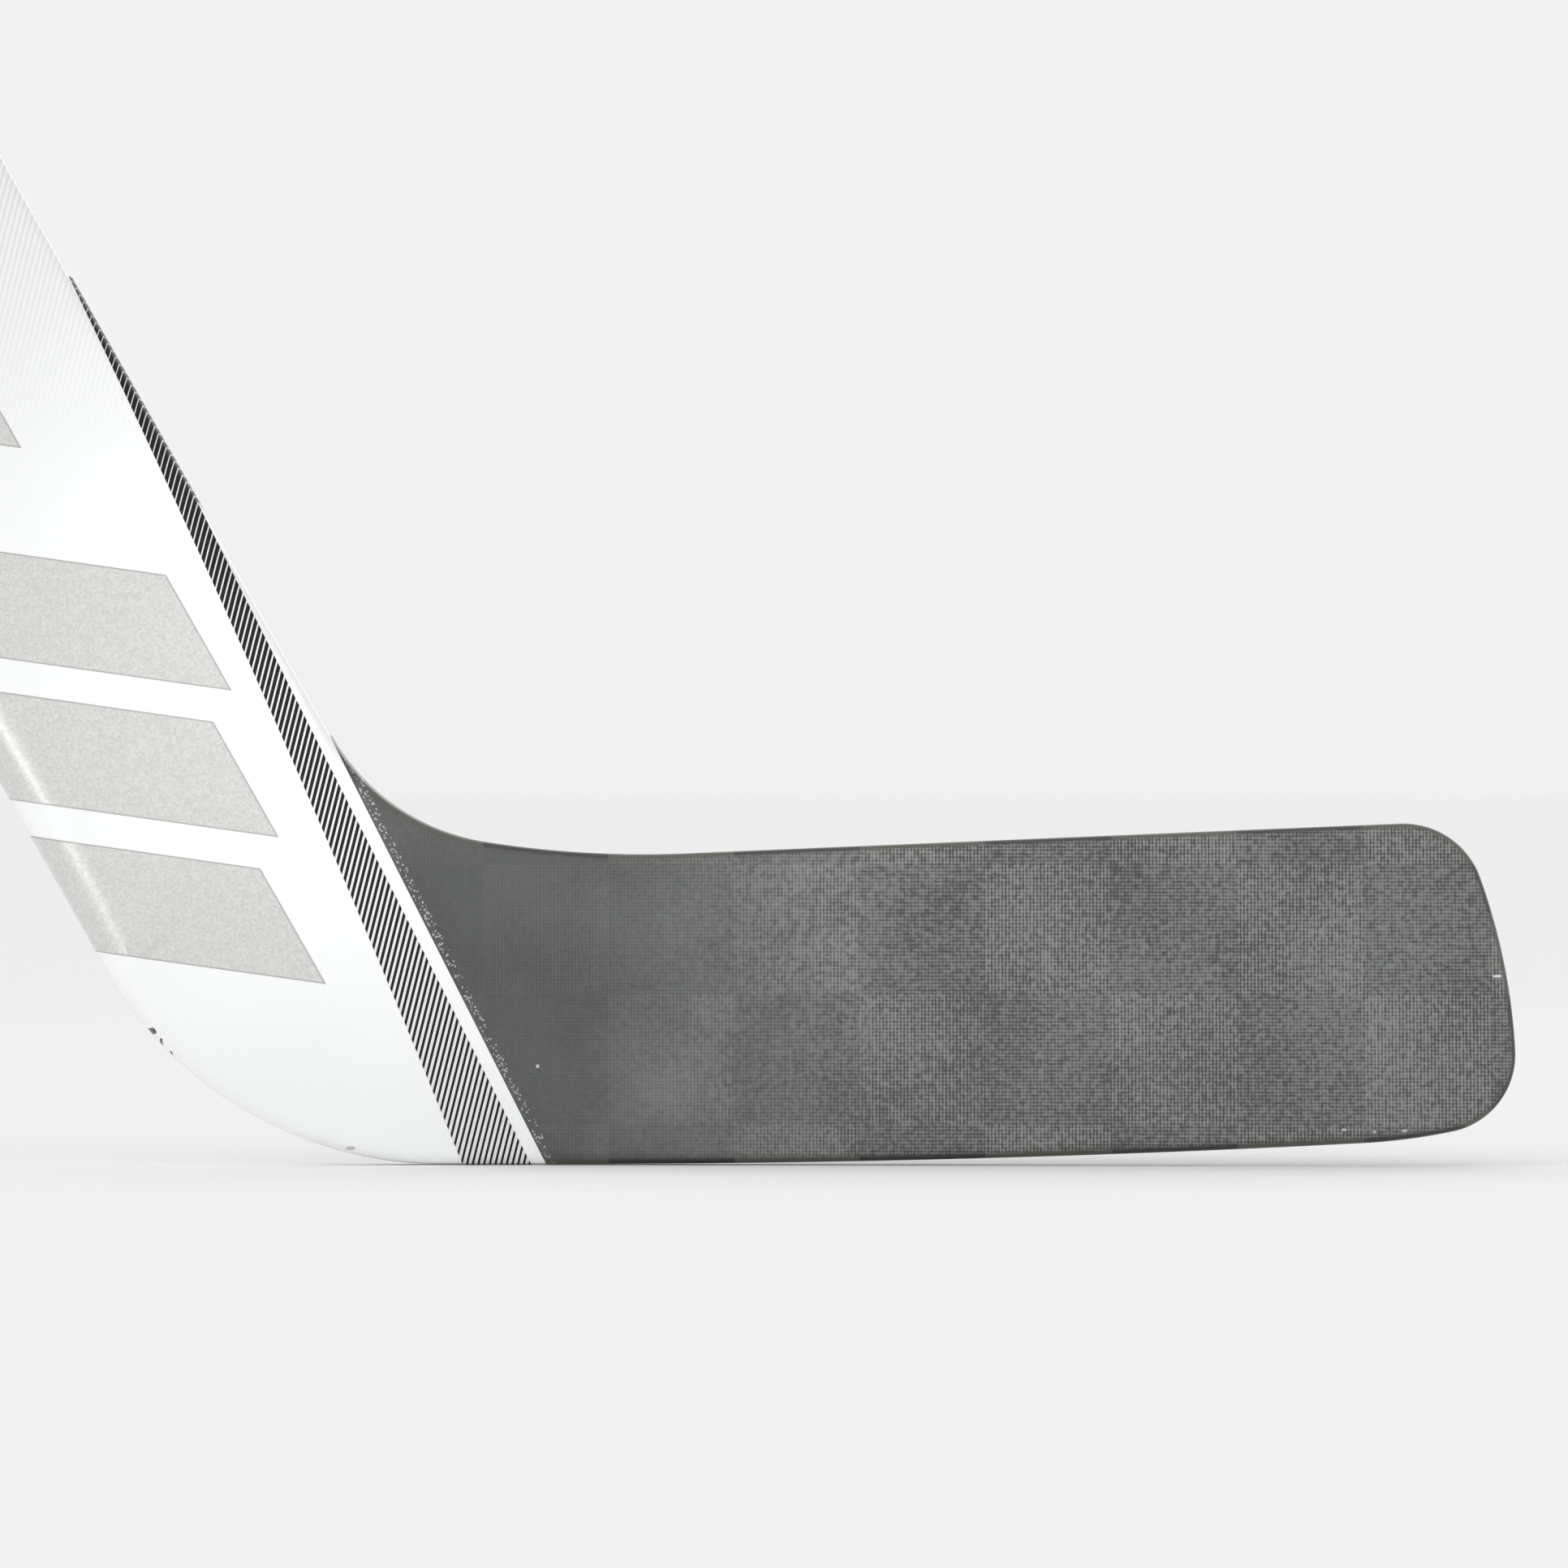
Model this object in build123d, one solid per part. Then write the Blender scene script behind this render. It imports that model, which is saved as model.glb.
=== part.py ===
from build123d import *
from math import atan, cos, degrees, radians, sin, tan
import os

# A goalkeeper's hockey stick in its playing pose, blade on the ice, paddle and shaft leaning back.
# Frame: +X runs from heel to toe, +Z is up and -Y is the forehand face, which the blade curves to.
# The origin is the heel corner, where the line of the paddle's back edge meets the ice, in the
# middle of the thickness. "Along" is measured from it up the back edge and "across" at right
# angles to that, towards the blade. Lengths are in millimetres and angles in degrees.

# Shaft and paddle
LEAN = 29.6                 # the paddle's axis from the vertical
STICK_LENGTH = 1500         # heel corner to the butt end
PADDLE_LENGTH = 660         # heel corner to the start of the shoulders
PADDLE_WIDTH = 88.9
PADDLE_THICKNESS = 22       # also the shaft's, which is flush with the paddle
SHOULDER_LENGTH = 65
NECK_LENGTH = 20
SHAFT_WIDTH = 30
SHAFT_WALL = 2
SPIGOT_LENGTH = 120         # the part of the shaft that is bonded inside the paddle
SPIGOT_CLEARANCE = 0.15     # glue gap on each side
SPIGOT_STEP = 8             # solid step between the shaft's bore and the spigot's
HEEL_RADIUS = 110

# Blade outline
BLADE_LENGTH = 370.7        # heel corner to the end of the toe
BLADE_HEIGHT = 88.8         # the top edge's height where its slope becomes straight
HEIGHT_STATION = 133.5      # how far from the heel that height is
TOP_SLOPE = 2.4             # the top edge rises towards the toe
TOP_BEND_RADIUS = 290
TOP_BEND_TURN = 11.4
THROAT_RADIUS = 62          # between the paddle's leading edge and the blade
SOLE_FLAT_END = 101         # where the flat sole starts to rise
ROCKER_TURN = 3.2
TOE_FOOT_RADIUS = 169
TOE_FOOT_TURN = 8.8
TOE_LOWER_RADIUS = 22.6
TOE_LOWER_TURN = 80.6
TOE_SIDE_TURN = 17
TOE_UPPER_RADIUS = 22.7

# Thickness and curve of the blade. A station is measured along the slant, which falls towards
# the toe, so that the upper edge is always thicker and straighter than the sole below it.
SLANT = 45
TAPER_START = -70
TAPER_END = 70
CURVE_START = 75
CURVE_DEPTH = 14.5          # how far the toe's middle stands off the paddle's plane
BLADE_THICKNESS = 12.5
TOE_THICKNESS = 9.5
EDGE_RADIUS = 4.5

# Laminate, foam and what is between them
SKIN = 1.4                  # on the two faces
RIM = 6.5                   # solid laminate round the edge
NECK_WALL = 3.5             # the same beside the shaft's spigot
RIB_THICKNESS = 2
SEAM_FOOT = 94.4            # where the paint's edge meets the ice
SEAM_LEAN = 26.6
SEAM_TOP = 114              # above this height the seam would leave only a sliver of blade
HEEL_BLOCK_BEHIND = 45      # how far the heel block reaches into the paddle
HEEL_BLOCK_AHEAD = 35       # and into the blade
HEEL_BLOCK_TOP = 100        # its top end, along the paddle
BLADE_RIB_HEIGHT = 46

# Butt end plug
PLUG_FLANGE = 5
PLUG_DEPTH = 30
PLUG_CLEARANCE = 0.1

# Printed films in the flat of the faces
FILM = 0.2
FILM_MARGIN = 6             # how far a film stays from the edge
STRIPE_GAP = 4.3            # white between the stripe and the seam
STRIPE_FOOT_WIDTH = 19.6    # along the ice
STRIPE_TIP = 253.8          # height of the tip
STRIPE_BULGE = 2.5
BAR_PITCH = 50
BAR_LENGTH = 38
BAR_START = 70
BAR_FALL = 0.77             # how much a bar's end falls for each millimetre across
BAR_REACHES = (53, 62, 71)  # how far across the three bars of a group reach
BAR_GROUPS = 3
GROUP_GAP = 26

# Worked out from the above
neck_top = PADDLE_LENGTH + SHOULDER_LENGTH + NECK_LENGTH
paddle_middle = PADDLE_WIDTH / 2
axis_heading = 90 + LEAN
profile_end = BLADE_LENGTH * cos(radians(SLANT))
toe_station = (BLADE_LENGTH - BLADE_HEIGHT / 2) * cos(radians(SLANT))
reach = STICK_LENGTH


def heading_vector(angle):
    return Vector(cos(radians(angle)), sin(radians(angle)))


ALONG = heading_vector(axis_heading)
ACROSS = heading_vector(LEAN)
SEAM = heading_vector(90 + SEAM_LEAN)
SLANTED = Plane(
    origin=(0, 0, 0),
    x_dir=(cos(radians(SLANT)), 0, -sin(radians(SLANT))),
    z_dir=(sin(radians(SLANT)), 0, cos(radians(SLANT))),
)
# Looking along the shaft: x is across the paddle, y is the thickness.
SHAFT_PLANE = Plane(origin=(0, 0, 0), x_dir=(ACROSS.X, 0, ACROSS.Y), z_dir=(ALONG.X, 0, ALONG.Y))


def on_paddle(along, across):
    return ALONG * along + ACROSS * across


def arc_step(radius, heading, turn):
    """The move from one end of an arc to the other, turning left when the turn is positive."""
    side = 1 if turn > 0 else -1
    start, end = radians(heading), radians(heading + turn)
    return Vector(sin(end) - sin(start), cos(start) - cos(end)) * (side * radius)


class Outline:
    """Lines and arcs laid end to end, each tangent to the one before, at an inset to their left."""

    def __init__(self, start, heading, inset):
        self.place = start + heading_vector(heading + 90) * inset
        self.heading = heading
        self.inset = inset
        self.edges = []

    def line(self, length):
        end = self.place + heading_vector(self.heading) * length
        self.edges.append(Line(self.place, end))
        self.place = end

    def arc(self, radius, turn):
        radius -= self.inset if turn > 0 else -self.inset
        self.edges.append(JernArc(self.place, heading_vector(self.heading), radius, turn))
        self.place = self.place + arc_step(radius, self.heading, turn)
        self.heading += turn

    def corner(self, turn):
        self.heading += turn


def shoulder(outline, side, neck_inset):
    """One S-bend between the paddle's edge and the neck's."""
    offset = (PADDLE_WIDTH - SHAFT_WIDTH) / 2 - outline.inset + neck_inset
    bend = 2 * degrees(atan(offset / SHOULDER_LENGTH))
    radius = SHOULDER_LENGTH / (2 * sin(radians(bend)))
    outline.arc(radius + side * outline.inset, side * bend)
    outline.arc(radius - side * outline.inset, -side * bend)


def stick_outline(inset=0, neck_inset=0):
    """Paddle and blade seen from the forehand side, from the heel along the ice and round.

    An inset moves the whole outline inwards, except at the neck, which has its own.
    """
    foot = ROCKER_TURN + TOE_FOOT_TURN
    side_start = foot + TOE_LOWER_TURN
    side_end = side_start + TOE_SIDE_TURN
    top_heading = 180 + TOP_SLOPE
    throat_heading = top_heading - TOP_BEND_TURN

    # The rocker ends where the toe's own arcs still have to reach the blade's full length.
    toe_run = arc_step(TOE_FOOT_RADIUS, ROCKER_TURN, TOE_FOOT_TURN).X
    toe_run += arc_step(TOE_LOWER_RADIUS, foot, 90 - foot).X
    rocker_run = BLADE_LENGTH - toe_run - SOLE_FLAT_END
    rocker_radius = rocker_run / sin(radians(ROCKER_TURN))

    # The toe's side is as long as the top edge's height asks for.
    below = Vector(SOLE_FLAT_END, 0) + arc_step(rocker_radius, 0, ROCKER_TURN)
    below += arc_step(TOE_FOOT_RADIUS, ROCKER_TURN, TOE_FOOT_TURN)
    below += arc_step(TOE_LOWER_RADIUS, foot, TOE_LOWER_TURN)
    above = arc_step(TOE_UPPER_RADIUS, side_end, top_heading - side_end)
    top_normal = heading_vector(90 + TOP_SLOPE)
    top_point = Vector(HEIGHT_STATION, BLADE_HEIGHT)
    unit_side = arc_step(1, side_start, TOE_SIDE_TURN)
    side_radius = (top_point - below - above).dot(top_normal) / unit_side.dot(top_normal)

    # The top edge is as long as the bends into the paddle's leading edge leave.
    toe_top = below + unit_side * side_radius + above
    bends = arc_step(TOP_BEND_RADIUS, top_heading, -TOP_BEND_TURN)
    bends += arc_step(THROAT_RADIUS, throat_heading, axis_heading - throat_heading)
    run = (PADDLE_WIDTH - (toe_top + bends).dot(ACROSS)) / heading_vector(top_heading).dot(ACROSS)
    throat_top = (toe_top + bends + heading_vector(top_heading) * run).dot(ALONG)
    heel_tangent = HEEL_RADIUS * tan(radians((90 - LEAN) / 2))

    outline = Outline(Vector(heel_tangent, 0), 0, inset)
    outline.line(SOLE_FLAT_END - heel_tangent)
    outline.arc(rocker_radius, ROCKER_TURN)
    outline.arc(TOE_FOOT_RADIUS, TOE_FOOT_TURN)
    outline.arc(TOE_LOWER_RADIUS, TOE_LOWER_TURN)
    outline.arc(side_radius, TOE_SIDE_TURN)
    outline.arc(TOE_UPPER_RADIUS, top_heading - side_end)
    outline.line(run)
    outline.arc(TOP_BEND_RADIUS, -TOP_BEND_TURN)
    outline.arc(THROAT_RADIUS, axis_heading - throat_heading)
    outline.line(PADDLE_LENGTH - inset - throat_top)
    shoulder(outline, 1, neck_inset)
    outline.line(NECK_LENGTH + inset)
    outline.corner(90)
    outline.line(SHAFT_WIDTH - 2 * neck_inset)
    outline.corner(90)
    outline.line(NECK_LENGTH + inset)
    shoulder(outline, -1, neck_inset)
    outline.line(PADDLE_LENGTH - inset - heel_tangent)
    outline.arc(HEEL_RADIUS, 90 - LEAN)
    return make_face(outline.edges)


def through(face):
    """A face of the side view, made a prism that is deeper than the stick is thick."""
    return extrude(Plane.XZ * face, amount=PADDLE_WIDTH, both=True)


def surface_line(side, inset):
    """A face of the stick in the slanted section: -1 is the forehand, 1 the backhand, 0 the middle."""
    paddle = side * (PADDLE_THICKNESS / 2 - inset)
    blade = side * (BLADE_THICKNESS / 2 - inset)
    toe = side * (TOE_THICKNESS / 2 - inset)
    bend = ((profile_end - CURVE_START) / (toe_station - CURVE_START)) ** 2
    taper_start, taper_end = (TAPER_START, paddle), (TAPER_END, blade)
    curve_start = (CURVE_START, blade)
    curve_end = (profile_end, toe - CURVE_DEPTH * bend)
    edges = [Line((-reach, paddle), taper_start)]
    if side == 0:
        edges.append(Line(taper_start, curve_start))
    else:
        halfway = ((TAPER_START + TAPER_END) / 2, (paddle + blade) / 2)
        edges.append(TangentArc(taper_start, halfway, tangent=(1, 0)))
        edges.append(TangentArc(taper_end, halfway, tangent=(-1, 0)))
        edges.append(Line(taper_end, curve_start))
    edges.append(TangentArc(curve_start, curve_end, tangent=(1, 0)))
    return edges, (-reach, paddle), curve_end


def layer(lower, upper):
    """The space between two faces of the stick, each given as a side and an inset."""
    low_edges, low_start, low_end = surface_line(*lower)
    high_edges, high_start, high_end = surface_line(*upper)
    ends = [Line(low_start, high_start), Line(low_end, high_end)]
    return extrude(SLANTED * make_face(low_edges + high_edges + ends), amount=reach, both=True)


def blade_side(shift):
    """Everything on the blade's side of a line that runs beside the seam."""
    foot = Vector(SEAM_FOOT + shift, 0) - SEAM * PADDLE_WIDTH
    top = foot + SEAM * reach
    far = Vector(reach, 0)
    return through(make_face(Polyline(foot, top, top + far, foot + far, close=True)))


def paddle_band(start, end, low, high):
    """A rectangle of the paddle's side view, given along and across."""
    corners = [on_paddle(*place) for place in ((start, low), (end, low), (end, high), (start, high))]
    return make_face(Polyline(*corners, close=True))


def outline_edges(body, outline):
    """The edges where the faces of the stick turn over into its rim."""
    rim = (Plane.XZ * outline).wire()
    neck_end = on_paddle(neck_top, paddle_middle)
    picked = []
    for edge in body.edges():
        middle = edge.position_at(0.5)
        flat = Vector(middle.X, 0, middle.Z)
        at_neck = abs(Vector(middle.X, middle.Z).dot(ALONG) - neck_end.dot(ALONG)) < 0.01
        along_y = abs(edge.tangent_at(0.5).Y) > 0.9
        if rim.distance_to(flat) < 0.01 and not at_neck and not along_y:
            picked.append(edge)
    return picked


outline = stick_outline()
body = through(outline) & layer((-1, 0), (1, 0))
body = fillet(outline_edges(body, outline), EDGE_RADIUS)
cavity = through(stick_outline(RIM, NECK_WALL)) & layer((-1, SKIN), (1, SKIN))
front_half = layer((-1, -PADDLE_THICKNESS), (0, 0))
blade_region = blade_side(0) & through(
    Pos(0, SEAM_TOP - reach / 2) * Rectangle(2 * reach, reach)
)

# Skins
shell = body - cavity
paddle_shell = shell - blade_region
blade_shell = shell & blade_region
parts = {
    "paddle_front_skin": paddle_shell & front_half,
    "paddle_back_skin": paddle_shell - front_half,
    "blade_front_skin": blade_shell & front_half,
    "blade_back_skin": blade_shell - front_half,
}

# Shaft, spigot and plug
spigot_start = neck_top - SPIGOT_LENGTH
spigot_width = SHAFT_WIDTH - 2 * (NECK_WALL + SPIGOT_CLEARANCE)
spigot_thickness = PADDLE_THICKNESS - 2 * (SKIN + SPIGOT_CLEARANCE)
bore_width = SHAFT_WIDTH - 2 * SHAFT_WALL
bore_thickness = PADDLE_THICKNESS - 2 * SHAFT_WALL
tube_end = STICK_LENGTH - PLUG_FLANGE


def shaft_block(width, thickness, start, end, corner):
    """A rounded bar on the shaft's axis, from one distance along it to another."""
    section = RectangleRounded(width, thickness, corner) if corner else Rectangle(width, thickness)
    return SHAFT_PLANE * (Pos(paddle_middle, 0, start) * extrude(section, amount=end - start))


tube = shaft_block(SHAFT_WIDTH, PADDLE_THICKNESS, neck_top, tube_end, EDGE_RADIUS)
tube += shaft_block(spigot_width, spigot_thickness, spigot_start, neck_top, EDGE_RADIUS / 2)
tube -= shaft_block(bore_width, bore_thickness, neck_top + SPIGOT_STEP, tube_end, EDGE_RADIUS / 2)
tube -= shaft_block(
    spigot_width - 2 * SHAFT_WALL,
    spigot_thickness - 2 * SHAFT_WALL,
    spigot_start,
    neck_top + SPIGOT_STEP,
    EDGE_RADIUS / 4,
)
plug = shaft_block(SHAFT_WIDTH, PADDLE_THICKNESS, tube_end, STICK_LENGTH, EDGE_RADIUS)
plug = fillet(plug.faces().sort_by(Axis((0, 0, 0), (ALONG.X, 0, ALONG.Y)))[-1].edges(), PLUG_FLANGE / 3)
plug += shaft_block(
    bore_width - 2 * PLUG_CLEARANCE,
    bore_thickness - 2 * PLUG_CLEARANCE,
    tube_end - PLUG_DEPTH,
    tube_end,
    EDGE_RADIUS / 2,
)
parts["shaft_tube"] = tube
parts["shaft_end_plug"] = plug

# Foam, ribs and the heel block fill the cavity
spigot_pocket = shaft_block(
    SHAFT_WIDTH - 2 * NECK_WALL, PADDLE_THICKNESS - 2 * SKIN, spigot_start, neck_top + SPIGOT_STEP, 0
)
block_zone = blade_side(-HEEL_BLOCK_BEHIND) & through(
    paddle_band(-reach, HEEL_BLOCK_TOP, -reach, reach)
)
blade_zone = blade_side(HEEL_BLOCK_AHEAD)
paddle_cavity = cavity - block_zone - spigot_pocket
blade_cavity = cavity & blade_zone
third = PADDLE_WIDTH / 3
low_rib = through(paddle_band(-reach, reach, third - RIB_THICKNESS / 2, third + RIB_THICKNESS / 2))
high_rib = through(
    paddle_band(-reach, reach, 2 * third - RIB_THICKNESS / 2, 2 * third + RIB_THICKNESS / 2)
)
trailing = through(paddle_band(-reach, reach, 0, third - RIB_THICKNESS / 2))
middle = through(paddle_band(-reach, reach, third + RIB_THICKNESS / 2, 2 * third - RIB_THICKNESS / 2))
leading = through(paddle_band(-reach, reach, 2 * third + RIB_THICKNESS / 2, PADDLE_WIDTH))
blade_rib = through(Pos(0, BLADE_RIB_HEIGHT) * Rectangle(2 * reach, RIB_THICKNESS))
upper = through(Pos(0, BLADE_RIB_HEIGHT + (RIB_THICKNESS + reach) / 2) * Rectangle(2 * reach, reach))
lower = through(Pos(0, BLADE_RIB_HEIGHT - (RIB_THICKNESS + reach) / 2) * Rectangle(2 * reach, reach))
parts["heel_block"] = (cavity & block_zone) - blade_zone
parts["paddle_core_trailing"] = paddle_cavity & trailing
parts["paddle_core_middle"] = paddle_cavity & middle
parts["paddle_core_leading"] = paddle_cavity & leading
parts["paddle_rib_trailing"] = paddle_cavity & low_rib
parts["paddle_rib_leading"] = paddle_cavity & high_rib
parts["blade_core_upper"] = blade_cavity & upper
parts["blade_core_lower"] = blade_cavity & lower
parts["blade_rib"] = blade_cavity & blade_rib


def stripe_region():
    """The tapering band beside the seam, from the ice to its tip on the leading edge."""
    fall = tan(radians(SEAM_LEAN))
    foot_right = SEAM_FOOT - STRIPE_GAP
    foot_left = foot_right - STRIPE_FOOT_WIDTH
    tip_x = (PADDLE_WIDTH - STRIPE_TIP * ACROSS.Y) / ACROSS.X
    chord = Vector(foot_left - tip_x, -STRIPE_TIP)
    bulge = Vector(STRIPE_TIP, foot_left - tip_x).normalized() * STRIPE_BULGE
    halfway = Vector(tip_x, STRIPE_TIP) + chord / 2 + bulge
    tip, foot = Vector(tip_x, STRIPE_TIP), Vector(foot_left, 0)
    right_top = Vector(foot_right - fall * STRIPE_TIP, STRIPE_TIP)
    edges = [
        ThreePointArc(tip, halfway, foot),
        Line(foot, (foot_right, 0)),
        Line((foot_right, 0), right_top),
        Line(right_top, tip),
    ]
    return through(make_face(edges))


def bar_regions():
    """Groups of three slanted bars across the paddle, each reaching further than the one below."""
    bars = []
    for group in range(BAR_GROUPS):
        for index, bar_reach in enumerate(BAR_REACHES):
            start = BAR_START + group * (len(BAR_REACHES) * BAR_PITCH + GROUP_GAP) + index * BAR_PITCH
            corners = [
                on_paddle(start, 0),
                on_paddle(start + BAR_LENGTH, 0),
                on_paddle(start + BAR_LENGTH - BAR_FALL * bar_reach, bar_reach),
                on_paddle(start - BAR_FALL * bar_reach, bar_reach),
            ]
            bars.append(through(make_face(Polyline(*corners, close=True))))
    return bars


# Films are let into the flat of the faces, flush with them and clear of the rounded edge
flat_region = through(stick_outline(FILM_MARGIN, FILM_MARGIN))
films = {"front": layer((-1, 0), (-1, FILM)), "back": layer((1, FILM), (1, 0))}
for face_name, film in films.items():
    sheet = film & flat_region
    stripe = sheet & stripe_region()
    bars = [solid for bar in bar_regions() for solid in (sheet & bar).solids()]
    skin = f"paddle_{face_name}_skin"
    for piece in [stripe, *bars]:
        parts[skin] -= piece
    parts[f"stripe_film_{face_name}"] = stripe
    parts[f"panel_film_{face_name}"] = Compound(bars)

os.makedirs("parts", exist_ok=True)
for name, part in parts.items():
    export_step(part, f"parts/{name}.step")
    print(f"{name}: {len(part.solids())} solid, {part.volume:.0f} mm3")
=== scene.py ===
import logging
import math
from dataclasses import dataclass, field
from enum import Enum
from typing import Any, ClassVar

import bmesh
import bpy
from bmesh.types import BMEdge, BMesh, BMVert
from bpy.types import Material, Node, NodeSocket, NodeTree, Object
from mathutils import Matrix, Vector


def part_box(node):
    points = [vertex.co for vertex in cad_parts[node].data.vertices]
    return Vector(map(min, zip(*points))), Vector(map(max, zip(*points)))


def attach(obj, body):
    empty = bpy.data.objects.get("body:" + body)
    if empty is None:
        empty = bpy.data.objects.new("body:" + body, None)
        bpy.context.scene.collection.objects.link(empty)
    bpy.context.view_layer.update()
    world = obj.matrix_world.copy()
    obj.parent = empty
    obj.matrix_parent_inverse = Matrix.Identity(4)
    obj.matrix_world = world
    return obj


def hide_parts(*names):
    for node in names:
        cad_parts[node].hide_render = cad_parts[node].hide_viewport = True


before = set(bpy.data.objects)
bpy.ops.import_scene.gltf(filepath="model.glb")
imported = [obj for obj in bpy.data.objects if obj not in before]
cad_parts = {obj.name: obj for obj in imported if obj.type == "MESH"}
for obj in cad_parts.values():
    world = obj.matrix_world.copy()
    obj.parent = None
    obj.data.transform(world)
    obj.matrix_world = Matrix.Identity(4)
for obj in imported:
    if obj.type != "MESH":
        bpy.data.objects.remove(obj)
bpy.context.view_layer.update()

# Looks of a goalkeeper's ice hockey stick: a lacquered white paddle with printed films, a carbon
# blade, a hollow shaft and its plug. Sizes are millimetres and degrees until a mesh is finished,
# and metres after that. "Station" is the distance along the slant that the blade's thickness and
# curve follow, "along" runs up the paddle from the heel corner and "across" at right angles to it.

MM = 0.001
log = logging.getLogger("stick")


class Face(Enum):
    """The two faces of the stick, by the sign of y."""

    FRONT = -1
    BACK = 1


class Part(Enum):
    """What a cut by the seam keeps."""

    PADDLE = -1
    BLADE = 1


def linear(hex_colour: str) -> tuple[float, float, float, float]:
    """Turns an sRGB hex colour to the linear one that shaders take.

    Args:
        hex_colour: six hex digits, such as "F3F5F4".

    Returns:
        Linear red, green, blue and an alpha of 1.
    """
    levels = [int(hex_colour[i : i + 2], 16) / 255 for i in (0, 2, 4)]
    bent = [c / 12.92 if c <= 0.04045 else ((c + 0.055) / 1.055) ** 2.4 for c in levels]
    return (bent[0], bent[1], bent[2], 1.0)


def heading(angle: float) -> Vector:
    """The direction in the plane y = 0 at an angle above +X, in degrees."""
    return Vector((math.cos(math.radians(angle)), 0, math.sin(math.radians(angle))))


def smooth(low: float, high: float, value: float) -> float:
    """Rises smoothly from 0 at low to 1 at high."""
    t = min(max((value - low) / (high - low), 0.0), 1.0)
    return t * t * (3 - 2 * t)


def sagitta(chord: float, drop: float, run: float) -> float:
    """How far a tangent arc has dropped.

    Args:
        chord: the run over which the whole drop happens.
        drop: the whole drop, which may be negative.
        run: how far along the run to look.

    Returns:
        The drop there.
    """
    if abs(drop) < 1e-9:
        return 0.0
    radius = (chord**2 + drop**2) / (2 * abs(drop))
    return math.copysign(radius - math.sqrt(radius**2 - run**2), drop)


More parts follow.
